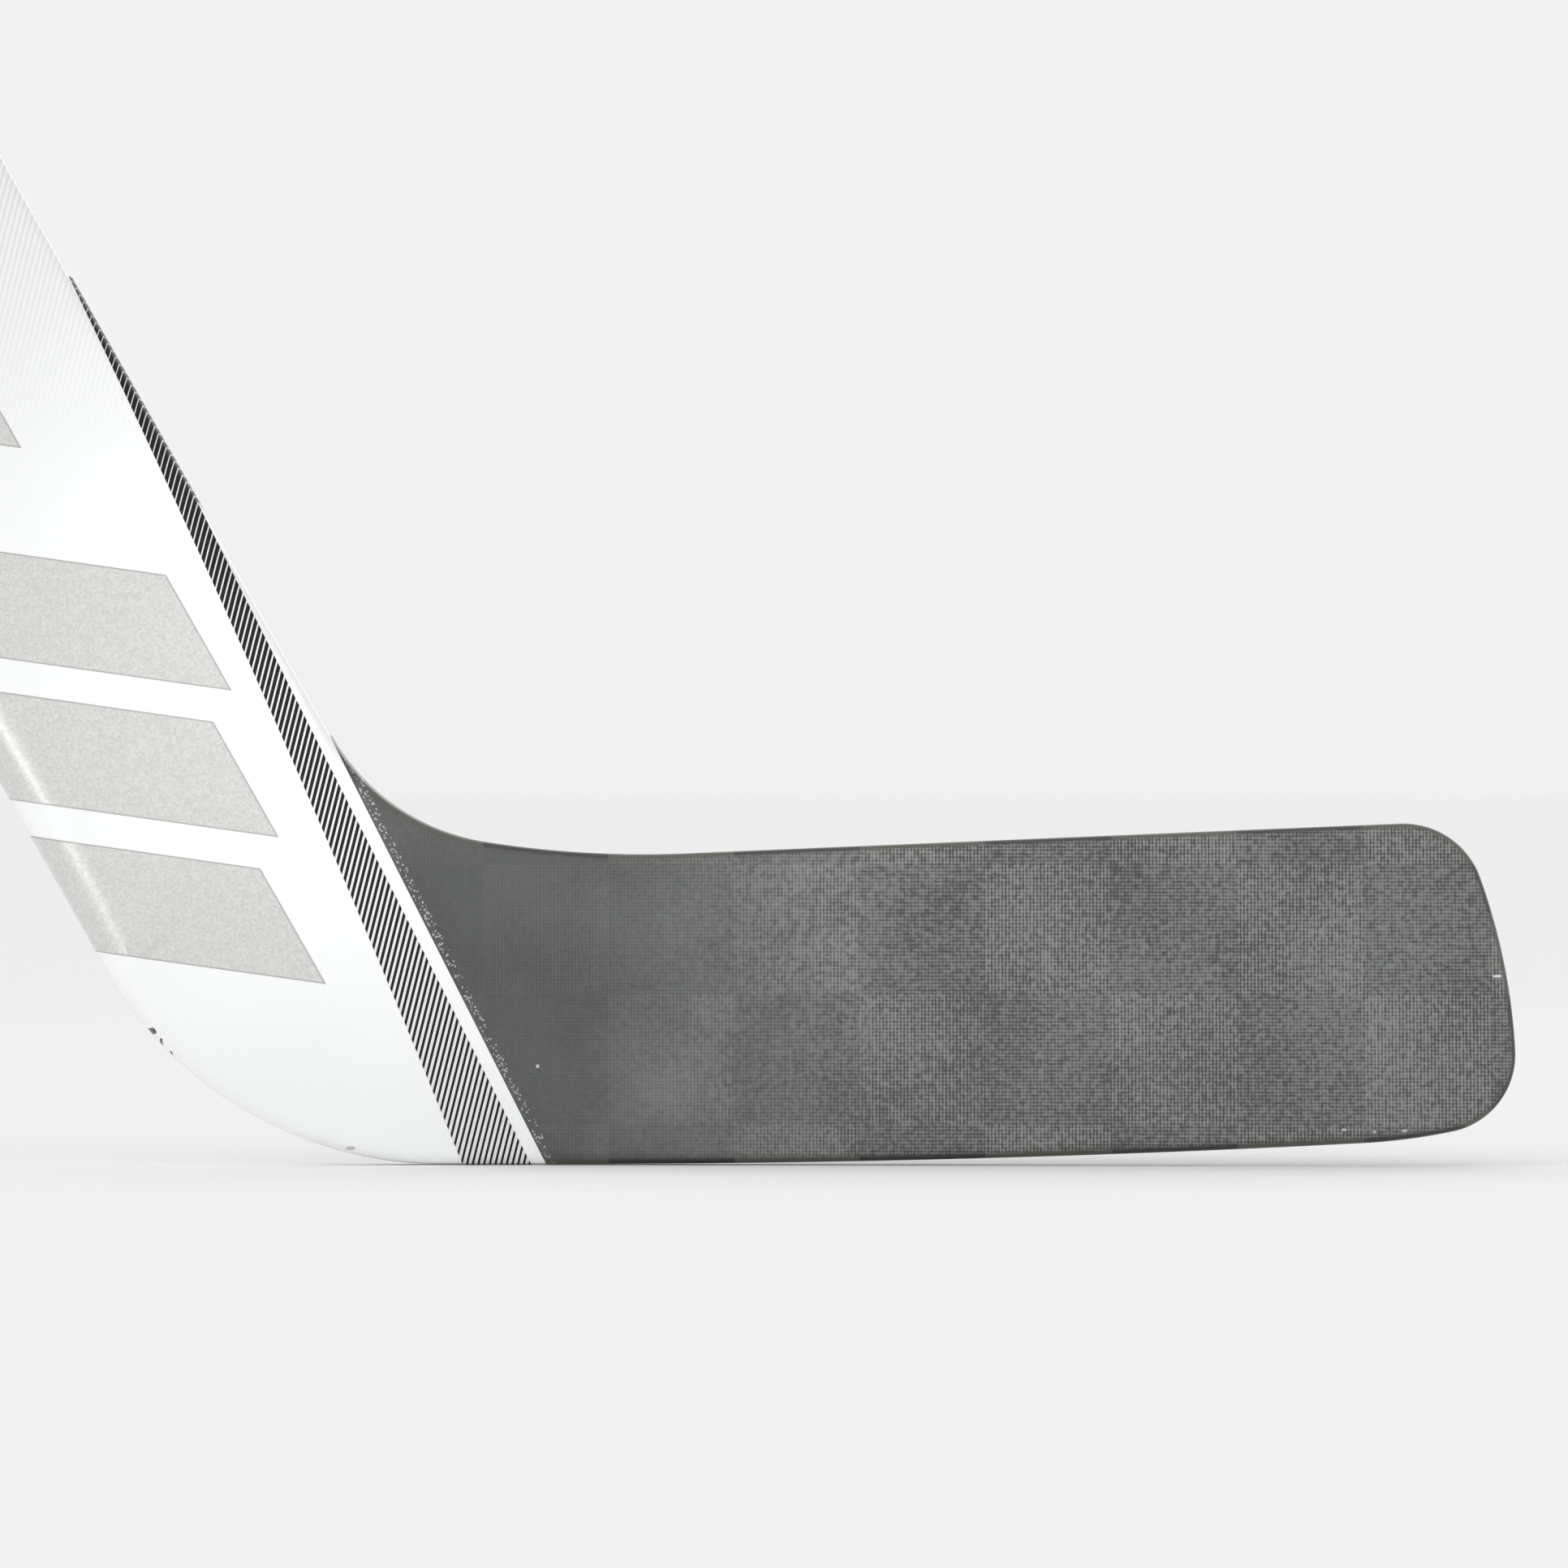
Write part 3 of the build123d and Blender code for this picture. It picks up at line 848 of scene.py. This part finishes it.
@dataclass(frozen=True)
class CarbonWeave:
    """Carbon cloth of spread tows laid chequered under clear resin: grey squares that shimmer.

    Squares of upright and of level threads take turns. The resin hides them near the paddle, and
    they come out over relief_run. Painted shade darkens the squares toward the paddle. The rim
    shows the cut tows, black and olive by turns, with painted shade where the edge turns away and
    further in at the sole, and the seam shows specks of bare thread ends.
    """

    shape: StickShape
    name: str = "carbon_spread_tow_weave"
    column: float = 35.9
    row: float = 37.2
    corner: tuple[float, float] = (76.4, 11.4)
    # Real threads lie 0.8 mm apart, drawn at 1 mm so that they hold up at the size shown
    thread: float = 1.0
    relief: tuple[float, float] = (0.15, 0.85)
    relief_run: tuple[float, float] = (80, 260)
    # Each kind of square by its two greys and how strongly its upright and level threads show
    upright: tuple[str, str, float, float] = ("3A3A39", "868684", 0.62, 0.38)
    level: tuple[str, str, float, float] = ("393A3A", "7A7C7C", 0.40, 0.45)
    mottle: float = 1.4
    mottle_gain: float = 3.2
    cloud: float = 40
    # Painted shade: the squares are darkened to this grey toward the paddle
    painted_shade: str = "2E2F2F"
    painted_shade_depth: float = 0.62
    painted_shade_run: tuple[float, float] = (70, 190)
    olive: str = "4A493F"
    black: str = "1D1F21"
    # Where the rim's tows and their painted shade end, by the sine of the angle round the edge, and
    # how much further in the painted shade reaches at the sole
    rim: tuple[float, float] = (0.55, 0.88)
    sole_shade_gain: float = 0.09
    sole_shade_run: tuple[float, float] = (8, 20)
    fray: str = "A2A4A2"
    fray_middle: float = 1.7
    fray_half: float = 1.1
    fray_rest: float = 0.84
    # Real thread ends are finer, drawn at 0.45 mm so that they show
    fray_end: float = 0.45
    grain: float = 0.9
    scuffs: tuple[Chip, ...] = (
        Chip(365.6, 54.0, 1.5, 0.4, "D5D5D3"),
        Chip(92.0, 28.0, 0.5, 0.5, "B9BAB9"),
        Chip(322.0, 10.2, 0.8, 0.4, "B4B4AF"),
        Chip(330.5, 9.7, 0.6, 0.4, "B4B4AF"),
        Chip(339.0, 10.0, 0.9, 0.4, "B4B4AF"),
    )

    def build(self) -> Material:
        """Makes the material. Grey squares with painted shade toward the paddle, under a half-gloss
        coat.

        Returns:
            The material.
        """
        material, tree, shader = new_material(self.name)
        where = add_node(tree, "TexCoord").outputs["Object"]
        shift = (-self.corner[0] / self.column, 0, -self.corner[1] / self.row)
        scale = (per(self.column), 0, per(self.row))
        squares = add_node(tree, "Mapping", {0: where, 1: shift, 3: scale})
        parity = add_node(tree, "TexChecker", {"Vector": squares, "Scale": 1.0}).outputs["Fac"]
        position = add_node(tree, "SeparateXYZ", {0: where}).outputs["X"]
        upright, level = self.threads(tree, where, position)
        colour = add_node(tree, "Mix", {0: parity, 6: level, 7: upright}, data_type="RGBA")
        # Painted shade, deepest near the paddle and gone at the far end of its run
        near, far = self.painted_shade_run
        shadow = {0: position, 1: near * MM, 2: far * MM, 3: self.painted_shade_depth, 4: 0.0}
        # The rim's tows, black and olive by turns with the squares, darkened as painted shade
        tows = {0: parity, 6: linear(self.black), 7: linear(self.olive)}
        depth = add_node(tree, "MapRange", shadow, interpolation_type="SMOOTHSTEP")
        # Laid over the squares in turn: painted shade toward the paddle, the rim's tows with their
        # painted shade, and the bare thread ends
        for amount, over in (
            (depth, linear(self.painted_shade)),
            (self.on_rim(tree, where), add_node(tree, "Mix", tows, data_type="RGBA")),
            (self.bare_ends(tree, where), linear(self.fray)),
        ):
            colour = add_node(tree, "Mix", {0: amount, 6: colour, 7: over}, data_type="RGBA")
        grains = {"Vector": where, "Scale": per(self.grain), "Detail": 2.0}
        cloth = add_node(tree, "TexNoise", grains)
        relief = {"Height": cloth, "Strength": 0.25, "Distance": 0.05 * MM}
        looks = {"Base Color": chipped(tree, where, colour, self.scuffs)}
        looks |= {"Normal": add_node(tree, "Bump", relief), "Roughness": 0.38, "IOR": 1.5}
        feed(shader, looks | {"Coat Weight": 0.35, "Coat Roughness": 0.15})
        return material

    def threads(self, tree: NodeTree, where: NodeSocket, position: NodeSocket) -> list[Node]:
        """Draws the threads of both kinds of square.

        Args:
            tree: to build in.
            where: the socket with the point's place.
            position: the socket with its x.

        Returns:
            The nodes with the colour of the upright squares and of the level ones.
        """
        waves = []
        for axis in ((1, 0, 0), (0, 0, 1)):
            place = add_node(tree, "VectorMath", {0: where, 1: axis}, operation="DOT_PRODUCT")
            turn = 2 * math.pi / (self.thread * MM)
            turns = add_node(tree, "Math", {0: place, 1: turn}, operation="MULTIPLY")
            waves.append(add_node(tree, "Math", {0: turns}, operation="SINE"))
        start, end = self.relief_run
        run = {0: position, 1: start * MM, 2: end * MM, 3: self.relief[0], 4: self.relief[1]}
        resin = add_node(tree, "MapRange", run, interpolation_type="SMOOTHSTEP")
        uneven, cloud = (
            add_node(tree, "TexNoise", {"Vector": where, "Scale": per(size), "Detail": 3.0})
            for size in (self.mottle, self.cloud)
        )
        tones = []
        for dim, bright, upright, level in (self.upright, self.level):
            total = add_node(tree, "Math", {0: waves[0], 1: upright}, operation="MULTIPLY")
            for part, gain in ((waves[1], level), (uneven, self.mottle_gain)):
                added = {0: part, 1: gain, 2: total}
                total = add_node(tree, "Math", added, operation="MULTIPLY_ADD")
            halved = {0: total, 1: self.mottle_gain / 2}
            centred = add_node(tree, "Math", halved, operation="SUBTRACT")
            drift = {0: centred, 1: resin, 2: cloud}
            drifted = add_node(tree, "Math", drift, operation="MULTIPLY_ADD")
            greys = {0: drifted, 6: linear(dim), 7: linear(bright)}
            tones.append(add_node(tree, "Mix", greys, data_type="RGBA"))
        return tones

    def on_rim(self, tree: NodeTree, where: NodeSocket) -> Node:
        """Finds the cut tows of the rim, which carry painted shade where the edge turns away.

        Args:
            tree: to build in.
            where: the socket with the point's place.

        Returns:
            The node that is 1 on them and 0 on the face.
        """
        edge = add_node(tree, "Attribute", attribute_name="rise").outputs["Fac"]
        height = add_node(tree, "SeparateXYZ", {0: where}).outputs["Z"]
        # Painted shade reaches further in near the sole
        low, high = self.sole_shade_run
        run = {0: height, 1: low * MM, 2: high * MM, 3: self.sole_shade_gain, 4: 0.0}
        sole = add_node(tree, "MapRange", run)
        rise = add_node(tree, "Math", {0: edge, 1: sole}, operation="SUBTRACT")
        band = {0: rise, 1: self.rim[0], 2: self.rim[1], 3: 1.0, 4: 0.0}
        return add_node(tree, "MapRange", band, interpolation_type="SMOOTHSTEP")

    def bare_ends(self, tree: NodeTree, where: NodeSocket) -> Node:
        """Finds the bare thread ends in a narrow line beside the seam.

        Args:
            tree: to build in.
            where: the socket with the point's place.

        Returns:
            The node that is 1 on them and 0 elsewhere.
        """
        lean = math.radians(self.shape.seam_lean)
        across = (math.cos(lean), 0, math.sin(lean))
        reach = add_node(tree, "VectorMath", {0: where, 1: across}, operation="DOT_PRODUCT")
        middle = (self.shape.seam_foot * math.cos(lean) + self.fray_middle) * MM
        band = {0: reach, 1: middle, 2: self.fray_half * MM}
        line = add_node(tree, "Math", band, operation="COMPARE")
        ends = add_node(tree, "TexVoronoi", {"Vector": where, "Scale": per(self.fray_end)})
        lit = add_node(tree, "SeparateColor", {0: ends.outputs["Color"]}).outputs[1]
        bare = add_node(tree, "Math", {0: lit, 1: self.fray_rest}, operation="GREATER_THAN")
        return add_node(tree, "Math", {0: line, 1: bare}, operation="MULTIPLY")


@dataclass(frozen=True)
class HatchInk:
    """Screen-printed black lines on a white ground, which thicken up the stripe.

    The ink's share of the pitch is duty at the sole, and grows with each metre of height.
    """

    name: str = "screen_printed_hatch"
    ink: str = "18181A"
    ground: str = "E0DFDD"
    duty: float = 0.42
    growth: float = 1.9

    def build(self) -> Material:
        """Makes the material. Crisp black diagonal lines under the clear coat.

        Returns:
            The material.
        """
        material, tree, shader = new_material(self.name)
        where = add_node(tree, "TexCoord").outputs["Object"]
        height = add_node(tree, "SeparateXYZ", {0: where}).outputs["Z"]
        share = {0: height, 1: self.growth, 2: self.duty}
        duty = add_node(tree, "Math", share, operation="MULTIPLY_ADD")
        inked = add_node(tree, "Math", {0: Lines().phase(tree), 1: duty}, operation="LESS_THAN")
        inks = {0: inked, 6: linear(self.ground), 7: linear(self.ink)}
        looks = {"Base Color": add_node(tree, "Mix", inks, data_type="RGBA")}
        feed(shader, looks | {"Roughness": 0.45, "IOR": 1.5, "Specular IOR Level": 0.2})
        return material


@dataclass(frozen=True)
class SilverFlake:
    """Metallic flake lacquer: pale warm silver with a fine sparkle."""

    name: str = "silver_flake_lacquer"
    colour: str = "D6D7D5"
    dim: str = "C5C5C2"
    # Real flakes are under 0.1 mm, drawn at 0.6 mm so that they show at all
    flake: float = 0.6

    def build(self) -> Material:
        """Makes the material. Each flake catches the light by itself.

        Returns:
            The material.
        """
        material, tree, shader = new_material(self.name)
        where = add_node(tree, "TexCoord").outputs["Object"]
        cells = add_node(tree, "TexVoronoi", {"Vector": where, "Scale": per(self.flake)})
        tone = add_node(tree, "SeparateColor", {0: cells.outputs["Color"]})
        silvers = {0: tone, 6: linear(self.colour), 7: linear(self.dim)}
        relief = {"Height": tone, "Strength": 0.15, "Distance": 0.02 * MM}
        looks = {"Base Color": add_node(tree, "Mix", silvers, data_type="RGBA")}
        looks |= {"Normal": add_node(tree, "Bump", relief), "Metallic": 0.35, "Roughness": 0.32}
        feed(shader, looks | {"Coat Weight": 0.9, "Coat Roughness": 0.06})
        return material


@dataclass(frozen=True)
class Mottled:
    """A plain moulded or cast finish of two close tones with a grain in its surface."""

    name: str
    colour: str
    shade: str
    grain: float
    roughness: float
    relief: float = 0.1

    def build(self) -> Material:
        """Makes the material. The grain is seen in its tone and in its broken gloss.

        Returns:
            The material.
        """
        material, tree, shader = new_material(self.name)
        where = add_node(tree, "TexCoord").outputs["Object"]
        grain = {"Vector": where, "Scale": per(self.grain), "Detail": 4.0}
        noise = add_node(tree, "TexNoise", grain)
        tones = {0: noise, 6: linear(self.colour), 7: linear(self.shade)}
        relief = {"Height": noise, "Strength": 0.4, "Distance": self.relief * MM}
        looks = {"Base Color": add_node(tree, "Mix", tones, data_type="RGBA")}
        looks |= {"Normal": add_node(tree, "Bump", relief), "Roughness": self.roughness}
        feed(shader, looks)
        return material


@dataclass
class Shells:
    """The four moulded faces: front and back of the paddle and of the blade."""

    body: StickBody
    wall: float = 1.2

    def build(self, lacquer: Material, weave: Material) -> None:
        """Builds and dresses the four faces.

        Args:
            lacquer: for the paddle.
            weave: for the blade.
        """
        for face in Face:
            side = face.name.lower()
            for part, material, slot in (
                (Part.PADDLE, lacquer, "white_lacquer"),
                (Part.BLADE, weave, "carbon_weave"),
            ):
                name = f"{part.name.lower()}_{side}"
                piece = make_object(f"{name}_face", self.body.shell(face, part), material)
                thicken(piece, self.wall, outwards=False)
                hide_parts(f"{name}_skin")


@dataclass
class Films:
    """The printed films on both faces of the paddle: slanted silver bars and the hatched stripe.

    The bars stand in groups with a gap between them. Each starts at the trailing edge, goes as far
    across as its reach, slants down by the fall, and has a narrow grey border of painted shade.
    """

    body: StickBody
    thickness: float = 0.12
    pitch: float = 50
    length: float = 38
    start: float = 70
    fall: float = 0.77
    reaches: tuple[float, ...] = (53, 62, 71)
    groups: int = 3
    gap: float = 26
    border: float = 0.4

    @property
    def indices(self) -> range:
        """The numbers of the bars in a group."""
        return range(len(self.reaches))

    def build(self, silver: Material, outline: Material, hatch: Material) -> None:
        """Builds and dresses the films.

        Args:
            silver: for the bars.
            outline: for the bars' borders, painted shade along their edges.
            hatch: for the stripe.
        """
        for face in Face:
            side = face.name.lower()
            stripe = make_object(f"stripe_{side}", self.body.stripe(face), hatch)
            thicken(stripe, self.thickness, outwards=True)
            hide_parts(f"stripe_film_{side}")
            places = [(group, index) for group in range(self.groups) for index in self.indices]
            bars = [self.bar(face, group, index) for group, index in places]
            panel = make_object(f"bars_{side}", self.joined(bars), silver, outline)
            thicken(panel, self.thickness, outwards=True)
            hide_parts(f"panel_film_{side}")

    def bar(self, face: Face, group: int, index: int) -> BMesh:
        """Cuts one bar and draws its border of painted shade.

        Args:
            face: front or back.
            group: which group of bars, from the heel up.
            index: which bar in the group.

        Returns:
            The bar as an open mesh in millimetres.
        """
        group_pitch = len(self.reaches) * self.pitch + self.gap
        start = self.start + group * group_pitch + index * self.pitch
        mesh = self.body.bar(face, start, self.length, self.reaches[index], self.fall)
        put_in_order(mesh)
        inset = bmesh.ops.inset_region(
            mesh,
            faces=list(mesh.faces),
            thickness=self.border,
            use_boundary=True,
            use_even_offset=True,
        )
        # The border takes the second material, a painted shade along the bar's edge
        for border_face in inset["faces"]:
            border_face.material_index = 1
        return mesh

    @staticmethod
    def joined(meshes: list[BMesh]) -> BMesh:
        """Puts several meshes into one.

        Args:
            meshes: to join, which are freed.

        Returns:
            The one mesh.
        """
        whole = bmesh.new()
        for mesh in meshes:
            carrier = bpy.data.meshes.new("carrier")
            mesh.to_mesh(carrier)
            mesh.free()
            whole.from_mesh(carrier)
            bpy.data.meshes.remove(carrier)
        return whole


@dataclass
class Shaft:
    """The straight hollow shaft above the paddle, and the plug in its butt end."""

    shape: StickShape
    round_over: float = 4.5
    tube_end_round: float = 0.6
    plug_end_round: float = 2.0
    flange: float = 5
    joint: float = 0.25

    def build(self, lacquer: Material, rubber: Material) -> None:
        """Builds and dresses the shaft and its plug.

        Args:
            lacquer: for the shaft.
            rubber: for the plug.
        """
        top = self.butt_end()
        bottom = self.shape.neck_top + self.joint
        tube = self.block(bottom, top - self.flange - self.joint, self.tube_end_round)
        piece = make_object("shaft_tube_outer", tube, lacquer)
        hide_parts("shaft_tube")
        plug = self.block(top - self.flange, top, self.plug_end_round)
        piece = make_object("butt_plug", plug, rubber)
        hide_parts("shaft_end_plug")

    def butt_end(self) -> float:
        """How far up the paddle's axis the stick ends, from the plug's highest corner.

        Returns:
            The distance from the heel corner.
        """
        s = self.shape
        trailing = (s.paddle_width - s.shaft_width) / 2
        leading = trailing + s.shaft_width
        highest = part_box("shaft_end_plug")[1].z / MM
        lean = math.radians(s.lean)
        return (highest - leading * math.sin(lean)) / math.cos(lean)

    def block(self, start: float, end: float, end_round: float) -> BMesh:
        """A length of the shaft's section with rounded long edges and softened ends.

        Args:
            start: its lower end, along the paddle's axis.
            end: its upper end.
            end_round: how far its end edges are rounded.

        Returns:
            A closed mesh in millimetres.
        """
        s = self.shape
        mesh = bmesh.new()
        bmesh.ops.create_cube(mesh, size=1)
        size = (s.shaft_width, s.paddle_thickness, end - start)
        bmesh.ops.scale(mesh, vec=size, verts=mesh.verts)
        for upright, offset, segments in ((True, self.round_over, 6), (False, end_round, 3)):
            edges = [
                e for e in mesh.edges if (abs(e.verts[0].co.z - e.verts[1].co.z) > 1) is upright
            ]
            bmesh.ops.bevel(
                mesh,
                geom=edges,
                offset=offset,
                offset_type="OFFSET",
                segments=segments,
                profile=0.5,
                affect="EDGES",
                material=-1,
            )
        bmesh.ops.translate(mesh, vec=(0, 0, (start + end) / 2), verts=mesh.verts)
        turn = Matrix.Rotation(-math.radians(s.lean), 3, "Y")
        bmesh.ops.rotate(mesh, cent=(0, 0, 0), matrix=turn, verts=mesh.verts)
        middle = heading(s.lean) * (s.paddle_width / 2)
        bmesh.ops.translate(mesh, vec=middle, verts=mesh.verts)
        bmesh.ops.recalc_face_normals(mesh, faces=mesh.faces)
        return mesh


@dataclass
class Core:
    """The parts inside, which keep their own shapes and get real finishes."""

    finishes: dict[str, Mottled] = field(
        default_factory=lambda: {
            # Cream and matt, with a grain of fine open cells
            "core": Mottled("closed_cell_foam", "E6DDB8", "CDBF93", 0.8, 0.85, 0.3),
            # Near black, with a half gloss broken by the cloth
            "rib": Mottled("cured_rib_laminate", "2B2C2D", "3A3B3C", 1.2, 0.5),
            # Dark brown, clouded as chopped fibre in resin is
            "heel_block": Mottled("moulded_heel_block", "3A3632", "2C2926", 2.5, 0.6),
        }
    )

    def build(self) -> None:
        """Dresses each inner node by what its name says it is."""
        made = {word: finish.build() for word, finish in self.finishes.items()}
        for name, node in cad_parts.items():
            for word, material in made.items():
                if word in name:
                    for slot in node.material_slots:
                        slot.material = material
                    log.info("%s: %s", name, material.name)


@dataclass(frozen=True)
class Lamp:
    """A square soft light: its place and side in metres, its watts and its spread in degrees."""

    name: str
    place: tuple[float, float, float]
    side: float
    watts: float
    spread: float


@dataclass
class Studio:
    """Floor, backdrop, lights and camera.

    The camera aims at a place in the plane y = plane, and sees view_width of it. The lights, the
    floor's reach and the camera's sight are in metres.
    """

    aim: tuple[float, float] = (162.4, 108.7)
    view_width: float = 447.8
    plane: float = -9
    lens: float = 250
    sensor: float = 36
    sight: float = 200
    floor_colour: str = "F9F9F9"
    floor_reach: float = 80
    floor_drop: float = 0.0003
    # The backdrop pales from the horizon up, by the sine of the height looked at
    backdrop: tuple[str, str] = ("F0F0F0", "F3F3F3")
    backdrop_height: float = 0.05
    lit_place: tuple[float, float, float] = (0.1, 0, 0.15)
    lamps: tuple[Lamp, ...] = (
        Lamp("key", (-1.4, -2.4, 1.3), 2.4, 1.05, 75),
        Lamp("fill", (1.8, -2.6, 1.0), 1.6, 0.65, 75),
        Lamp("back", (1.2, 2.6, 1.4), 1.4, 1.0, 75),
        Lamp("heel", (-0.30, -0.50, 0.12), 0.18, 0.07, 30),
    )

    def build(self) -> None:
        """Sets everything up."""
        self.floor()
        self.world()
        for lamp in self.lamps:
            self.light(lamp)
        self.camera()

    def floor(self) -> None:
        """Lays a pale floor that runs out of sight, matt as paper is."""
        mesh = bmesh.new()
        bmesh.ops.create_grid(mesh, x_segments=4, y_segments=4, size=self.floor_reach)
        bmesh.ops.translate(mesh, vec=(0, 0, -self.floor_drop), verts=mesh.verts)
        data = bpy.data.meshes.new("studio_floor")
        mesh.to_mesh(data)
        mesh.free()
        floor = bpy.data.objects.new("studio_floor", data)
        bpy.context.scene.collection.objects.link(floor)
        material, _, shader = new_material("pale_paper_floor")
        paper = {"Base Color": linear(self.floor_colour), "Roughness": 1.0}
        feed(shader, paper | {"Specular IOR Level": 0.0})
        data.materials.append(material)

    def world(self) -> None:
        """Puts even pale light all round, a little paler above the horizon."""
        world = bpy.data.worlds.new("studio")
        world.use_nodes = True
        tree = world.node_tree
        where = add_node(tree, "TexCoord").outputs["Generated"]
        height = add_node(tree, "SeparateXYZ", {0: where}).outputs["Z"]
        run = {0: height, 1: 0.0, 2: self.backdrop_height}
        rise = add_node(tree, "MapRange", run, interpolation_type="SMOOTHSTEP")
        low, high = (linear(tone) for tone in self.backdrop)
        pale = add_node(tree, "Mix", {0: rise, 6: low, 7: high}, data_type="RGBA")
        feed(tree.nodes["Background"], {"Color": pale})
        bpy.context.scene.world = world

    def light(self, lamp: Lamp) -> None:
        """Hangs a lamp that the camera doesn't see, turned to the blade.

        Args:
            lamp: to hang.
        """
        light = bpy.data.lights.new(lamp.name, "AREA")
        light.size = lamp.side
        light.energy = lamp.watts
        light.spread = math.radians(lamp.spread)
        holder = bpy.data.objects.new(lamp.name, light)
        holder.visible_camera = False
        holder.location = lamp.place
        ray = Vector(self.lit_place) - Vector(lamp.place)
        holder.rotation_euler = ray.to_track_quat("-Z", "Y").to_euler()
        bpy.context.scene.collection.objects.link(holder)

    def camera(self) -> None:
        """Sets up a long lens, square on to the front face."""
        data = bpy.data.cameras.new("camera")
        data.lens = self.lens
        data.sensor_width = self.sensor
        data.clip_end = self.sight
        holder = bpy.data.objects.new("camera", data)
        distance = self.view_width * self.lens / self.sensor
        holder.location = Vector((self.aim[0], self.plane - distance, self.aim[1])) * MM
        holder.rotation_euler = (math.radians(90), 0, 0)
        bpy.context.scene.collection.objects.link(holder)
        bpy.context.scene.camera = holder


def main() -> None:
    """Builds the stick's looks and the studio round it."""
    logging.basicConfig(level=logging.INFO, format="%(name)s %(message)s")
    # Whites stay white under Standard, where the default transform greys them
    bpy.context.scene.view_settings.view_transform = "Standard"
    shape = StickShape()
    body = StickBody(shape)
    lacquer = WhiteLacquer().build()
    Shells(body).build(lacquer, CarbonWeave(shape).build())
    # Flat mid grey, a hair's breadth of painted shade along the bars' edges, with almost no relief
    outline = Mottled("grey_border_painted_shade", "B2B2AF", "A4A4A1", 1.0, 0.4, 0.01)
    Films(body).build(SilverFlake().build(), outline.build(), HatchInk().build())
    # Soft black with a fine moulded grain
    rubber = Mottled("moulded_rubber_plug", "1E1F20", "2A2B2C", 0.7, 0.65)
    Shaft(shape).build(lacquer, rubber.build())
    Core().build()
    Studio().build()


if __name__ == "__main__":
    main()
